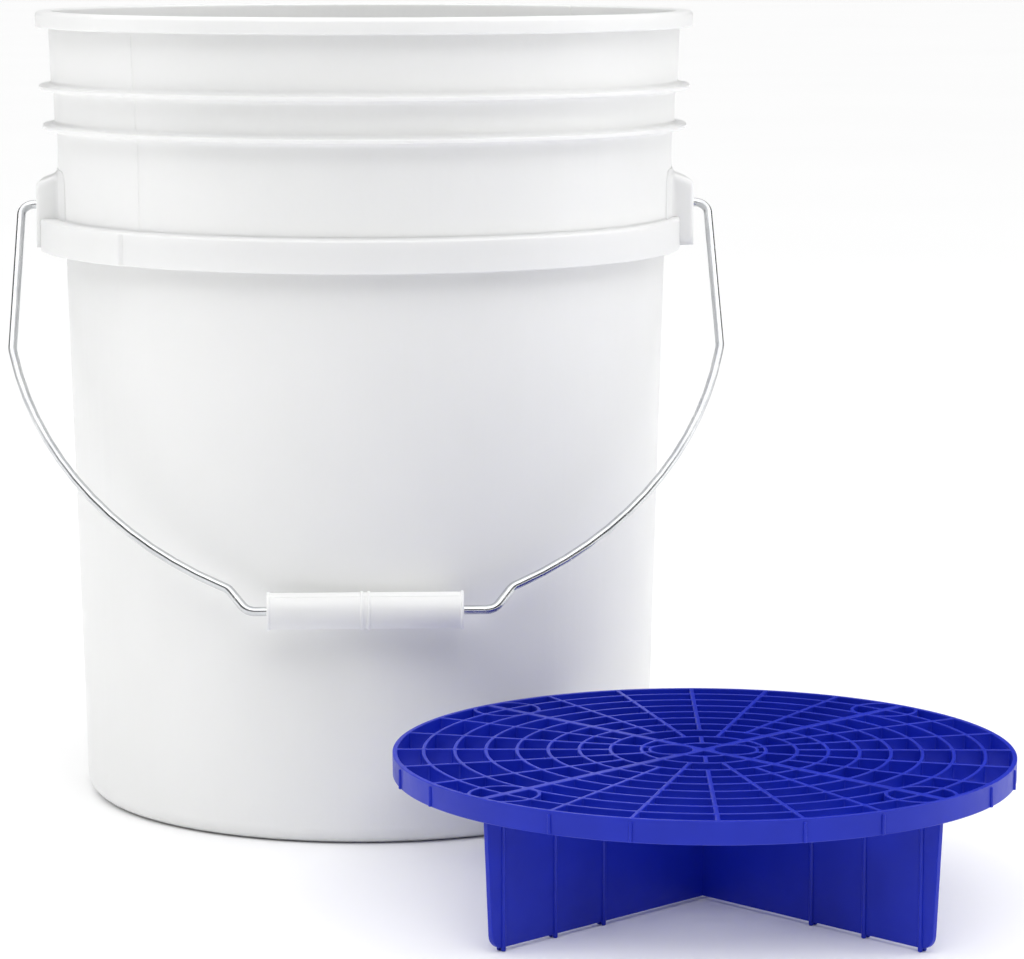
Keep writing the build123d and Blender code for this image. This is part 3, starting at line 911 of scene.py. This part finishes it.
@dataclass
class GritGuard:
    """The openwork plate on its crossed legs."""

    material: Material
    slot: str = "blue_polypropylene"
    turn: float = radians(-3)
    ring_count: int = 10
    spoke_count: int = 24
    hoop_thick: float = 0.002
    rib: float = 0.0015
    spoke: float = 0.0018
    rail: float = 0.0034
    finger_radius: float = 0.0086
    finger_wall: float = 0.0014
    finger_centre: float = 0.0132
    bridge: float = 0.0012
    bridge_offset: float = 0.005
    loop_radius: float = 0.014
    fillet: float = 0.0009
    edge: float = 0.00035
    draft: float = 0.00012
    leg: float = 0.0025
    leg_top_gap: float = 0.0005
    leg_taper: float = 0.003
    leg_round: float = 0.006
    bead_radius: float = 0.001
    hoop_bead_radius: float = 0.0008
    loop_slack: float = 0.000012
    bead_foot: float = 0.0015
    bead_core: float = 0.1
    bead_soft: float = 0.7
    hoop_bead_low: float = 0.0001
    hoop_bead_drop: float = 0.0012
    leg_beads: Colour = (0.93, 0.70, 0.48)
    leg_edge: float = 0.0004
    bury: float = 0.0004
    bridge_gap: float = 0.002
    sampling: float = 0.00032

    def __post_init__(self) -> None:
        """Reads the frame's boxes."""
        low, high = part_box("guard_hoop")
        self.radius = (high.x - low.x) / 2
        self.low, self.top = low.z, high.z
        middle = (low + high) / 2
        self.place = Matrix.Translation((middle.x, middle.y, 0)) @ Matrix.Rotation(self.turn, 4, "Z")
        self.pitch = self.radius / self.ring_count
        self.inner = self.radius - self.hoop_thick

    def bar(self, x: Array, y: Array, angle: float, start: float, end: float,
            width: float) -> Array:
        """How far points lie outside a straight bar.

        Args:
            x: The points' X.
            y: The points' Y.
            angle: The bar's direction from the centre.
            start: The radius at which it starts.
            end: The radius at which it ends.
            width: Its width.

        Returns:
            Signed distances.
        """
        along = x * cos(angle) + y * sin(angle)
        across = np.abs(y * cos(angle) - x * sin(angle))
        return np.maximum.reduce([across - width / 2, start - along, along - end])

    def ribs(self, x: Array, y: Array) -> list[Array]:
        """How far points lie outside each rib of the plate.

        Args:
            x: The points' X.
            y: The points' Y.

        Returns:
            Signed distances, one array for each rib.
        """
        reach, half, pitch = np.hypot(x, y), self.rib / 2, self.pitch
        found = [np.abs(reach - number * pitch) - half for number in range(2, self.ring_count)]
        found.append(np.maximum(np.abs(reach - pitch) - half, (np.abs(x) - np.abs(y)) * sqrt(0.5)))
        found.append(np.abs(reach - self.radius + self.hoop_thick / 2) - self.hoop_thick / 2)
        end = self.inner + self.bury
        step = tau / self.spoke_count
        for number in range(self.spoke_count):
            start = {0: 3, 1: 2, 2: 3, 4: 3, 5: 2}.get(number % 6)
            if start:
                found.append(self.bar(x, y, number * step, start * pitch, end, self.spoke))
        for angle in (pi / 2, -pi / 2):
            found.append(self.bar(x, y, angle, pitch, 2 * pitch, self.spoke))
        for angle in (pi / 4, 3 * pi / 4):
            found.append(np.maximum(self.bar(x, y, angle, -1, 1, self.rail), reach - end))
            for far in (-1, 1):
                middle = far * (self.ring_count - 1) * pitch
                gap = np.hypot(x - middle * cos(angle), y - middle * sin(angle))
                found.append(np.maximum(np.abs(gap - self.loop_radius) - half, reach - end))
        for side in Side:
            gap = np.hypot(x - side.value * self.finger_centre, y)
            found.append(np.abs(gap - self.finger_radius - self.finger_wall / 2) - self.finger_wall / 2)
            for offset in (-self.bridge_offset, self.bridge_offset):
                found.append(np.maximum(
                    np.abs(side.value * x - (self.finger_centre + 2 * pitch) / 2)
                    - (2 * pitch - self.finger_centre - self.bridge_gap) / 2,
                    np.abs(y - offset) - self.bridge / 2))
        return found

    def field(self, x: Array, y: Array) -> Array:
        """How far points lie outside the plate's openwork, with its ribs run together by small fillets.

        Args:
            x: The points' X.
            y: The points' Y.

        Returns:
            Signed distances.
        """
        solid, *rest = self.ribs(x, y)
        for other in rest:
            blend = np.maximum(self.fillet - np.abs(solid - other), 0)
            solid = np.minimum(solid, other) - blend ** 2 / (4 * self.fillet)
        for side in Side:
            solid = np.maximum(solid, self.finger_radius - np.hypot(x - side.value * self.finger_centre, y))
        return solid

    def plate(self) -> Piece:
        """Builds the openwork: each cell's wall with soft edges, and the flat faces between the cells."""
        places = np.arange(-self.radius - 0.001, self.radius + 0.001, self.sampling)
        x, y = np.meshgrid(places, places, indexing="ij")
        loops = [thinned(loop, self.loop_slack) for loop in zero_outlines(self.field(x, y), places, places)]
        loops = [counterclockwise(loop) for loop in loops]
        loops.sort(key=lambda loop: -np.ptp(loop[:, 0]))
        levels = [(self.edge * (1 - sin(t)), self.top - self.edge * (1 - cos(t))) for t in SOFT_EDGE]
        levels += [(self.draft, self.low + self.edge), (self.draft + self.edge, self.low)]
        shape, step = Shape(), 1e-6
        rims: dict[int, list[Array]] = {0: [], -1: []}
        for loop in loops:
            px, py = loop.T
            slope = np.stack([self.field(px + step, py) - self.field(px - step, py),
                              self.field(px, py + step) - self.field(px, py - step)], 1)
            slope /= np.maximum(np.hypot(*slope.T), 1e-12)[:, None]
            rows = [np.column_stack([loop - slope * inset, np.full(len(loop), height)])
                    for inset, height in levels]
            numbers = shape.grid(np.array(rows))
            for end in rims:
                rims[end].append(numbers[end])
        for rim in rims.values():
            joined = np.concatenate(rim)
            flat = [Vector(shape.points[number][:2]) for number in joined]
            starts = np.cumsum([0] + [len(loop) for loop in rim])
            outlines = [list(range(a, b)) for a, b in zip(starts, starts[1:])]
            _, _, faces, origins, _, owners = delaunay_2d_cdt(flat, [], outlines, 1, 1e-9)
            for face, owner in zip(faces, owners):
                if list(owner) == [0]:
                    shape.faces.append([int(joined[origins[corner][0]]) for corner in face])
        place = np.array(self.place)
        points = np.array(shape.points) @ place[:3, :3].T + place[:3, 3]
        shape.points = [tuple(point) for point in points.tolist()]
        nodes = [f"guard_grid_{side}" for side in ("right", "back", "left", "front")]
        return settle(shape.build("guard_openwork", self.material), Body.GUARD, self.slot,
                      "guard_hoop", "guard_hub", *nodes)

    def bead(self, shape: Shape, spot: Vector, radius: float, low: float, high: float) -> None:
        """Adds an upright half-round bead with soft ends.

        Args:
            shape: The shape that it belongs to.
            spot: Its axis's place in the guard's own plane.
            radius: Its radius.
            low: Its lower end.
            high: Its upper end.
        """
        core, soft = radius * self.bead_core, radius * self.bead_soft
        corners = [(core, low, 0), (radius, low, soft), (radius, high, soft), (core, high, 0)]
        shape.spin(rounded(corners, 4), self.place @ Matrix.Translation(spot), 20)

    def hoop_beads(self) -> Piece:
        """Builds the beads round the outside of the hoop."""
        shape = Shape()
        low, high = self.low + self.hoop_bead_low, self.top - self.hoop_bead_drop
        for number in range(self.spoke_count):
            if number % 3:
                angle = number * tau / self.spoke_count
                spot = Vector((self.radius * cos(angle), self.radius * sin(angle), 0))
                self.bead(shape, spot, self.hoop_bead_radius, low, high)
        return settle(shape.build("guard_hoop_beads", self.material), Body.GUARD, self.slot)

    def legs(self, name: str, angle: float, *nodes: str) -> Piece:
        """Builds one blade across the guard, which is two of its legs, with its stiffening beads.

        Args:
            name: The blade's name.
            angle: Its direction.
            nodes: The two legs that it stands for.

        Returns:
            The blade.
        """
        reach = self.inner - self.leg_top_gap
        toe, low, high = reach - self.leg_taper, self.bead_foot, self.low + 0.001
        outline = rounded([(-toe, low, self.leg_round), (toe, low, self.leg_round), (reach, high, 0),
                           (-reach, high, 0)], steps=8)
        turn = self.place @ Matrix.Rotation(angle, 4, "Z")
        shape = Shape()
        shape.slab(outline, self.leg, self.leg_edge, turn @ Matrix.Rotation(pi / 2, 4, "X"))
        around = Matrix.Rotation(angle, 4, "Z")
        for share in self.leg_beads:
            for far in (-1, 1):
                for side in (-1, 1):
                    spot = around @ Vector((far * share * reach, side * self.leg / 2, 0))
                    self.bead(shape, spot, self.bead_radius, 0.0, high)
        return settle(shape.build(name, self.material), Body.GUARD, self.slot, *nodes)

    def build(self) -> None:
        """Builds the whole moulding."""
        self.plate()
        self.hoop_beads()
        self.legs("guard_blade_right", pi / 4, "guard_leg_back_right", "guard_leg_front_left")
        self.legs("guard_blade_left", 3 * pi / 4, "guard_leg_back_left", "guard_leg_front_right")


# --- The studio ---------------------------


@dataclass
class Studio:
    """Floor, light and camera."""

    distance: float = 1.8
    side: float = -0.0155
    eye_height: float = 0.4061
    yaw: float = radians(2.672)
    pitch: float = radians(8.251)
    lens: float = 135.0
    aim: Vector = field(default_factory=lambda: Vector((0.03, -0.05, 0.2)))
    floor_half: float = 40.0
    side_panel: Corner = (1.6, -0.1, 0.7)
    side_size: Point = (1.2, 1.8)
    front_panel: Corner = (0.0, -1.6, 1.7)
    front_size: Point = (1.6, 1.2)
    near_air: float = 0.12
    far_air: float = 0.05
    sky_power: float = 3.08
    sky_spread: float = radians(100)
    left_power: float = 6.4
    right_power: float = 8.8
    front_power: float = 7.2

    def camera(self) -> None:
        """Places the camera."""
        data = bpy.data.cameras.new("view")
        data.lens = self.lens
        data.clip_end = 200.0
        camera = bpy.data.objects.new("view", data)
        camera.location = (self.side, -self.distance, self.eye_height)
        camera.rotation_euler = (pi / 2 - self.pitch, 0, -self.yaw)
        bpy.context.scene.collection.objects.link(camera)
        bpy.context.scene.camera = camera

    def floor(self) -> None:
        """Lays a plain pale floor."""
        half = self.floor_half
        corners = [(-half, -half, 0), (half, -half, 0), (half, half, 0), (-half, half, 0)]
        mesh = bpy.data.meshes.new("floor")
        mesh.from_pydata(corners, [], [(0, 1, 2, 3)])
        mix = Recipe("pale_floor")
        mix.feed("Base Color", mix.tint(mix.noise(0.8), (0.94, 0.94, 0.94), (0.95, 0.95, 0.95)))
        mix.set(Roughness=0.85, Specular__IOR__Level=0.1)
        mesh.materials.append(mix.material)
        floor = bpy.data.objects.new("floor", mesh)
        bpy.context.scene.collection.objects.link(floor)

    def panel(self, name: str, place: Vector, size: Point, power: float) -> None:
        """Hangs a soft light panel that faces the pail.

        Args:
            name: The light's name.
            place: Its centre.
            size: Its width and height.
            power: Its power in watts.
        """
        data = bpy.data.lights.new(name, "AREA")
        data.shape = "RECTANGLE"
        data.size, data.size_y = size
        data.energy = power
        lamp = bpy.data.objects.new(name, data)
        lamp.location = place
        lamp.rotation_euler = (self.aim - place).to_track_quat("-Z", "Y").to_euler()
        lamp.visible_camera = False
        bpy.context.scene.collection.objects.link(lamp)

    def light(self) -> None:
        """Lights the set softly, from above and from both sides more than from the front."""
        world = bpy.data.worlds.new("studio")
        world.use_nodes = True
        nodes, link = world.node_tree.nodes, world.node_tree.links.new
        air = nodes["Background"]
        split = nodes.new("ShaderNodeSeparateXYZ")
        depth = nodes.new("ShaderNodeMapRange")
        span = {"From Min": -1, "From Max": 1, "To Min": self.near_air, "To Max": self.far_air}
        for name, value in span.items():
            depth.inputs[name].default_value = value
        backdrop = nodes.new("ShaderNodeBackground")
        for light in (air, backdrop):
            light.inputs["Color"].default_value = (1, 1, 1, 1)
        mix = nodes.new("ShaderNodeMixShader")
        link(nodes.new("ShaderNodeTexCoord").outputs["Generated"], split.inputs[0])
        link(split.outputs["Y"], depth.inputs["Value"])
        link(depth.outputs["Result"], air.inputs["Strength"])
        link(nodes.new("ShaderNodeLightPath").outputs["Is Camera Ray"], mix.inputs[0])
        link(air.outputs[0], mix.inputs[1])
        link(backdrop.outputs[0], mix.inputs[2])
        link(mix.outputs[0], nodes["World Output"].inputs["Surface"])
        bpy.context.scene.world = world
        sky = bpy.data.lights.new("overhead", "SUN")
        sky.energy = self.sky_power
        sky.angle = self.sky_spread
        overhead = bpy.data.objects.new("overhead", sky)
        bpy.context.scene.collection.objects.link(overhead)
        out, back, high = self.side_panel
        self.panel("left_panel", Vector((-out, back, high)), self.side_size, self.left_power)
        self.panel("right_panel", Vector((out, back, high)), self.side_size, self.right_power)
        self.panel("front_panel", Vector(self.front_panel), self.front_size, self.front_power)

    def build(self) -> None:
        """Sets up the whole studio."""
        self.camera()
        self.floor()
        self.light()
        bpy.context.scene.view_settings.view_transform = "Standard"


def main() -> None:
    """Builds every piece around the frame."""
    logging.basicConfig(level=logging.INFO, format="%(message)s")
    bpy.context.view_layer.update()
    Studio().build()
    milky = MilkyPolyethylene().material()
    Pail(milky).build()
    Bail(ZincPlate().material(), milky).build()
    GritGuard(BluePolypropylene().material()).build()


if __name__ == "__main__":
    main()
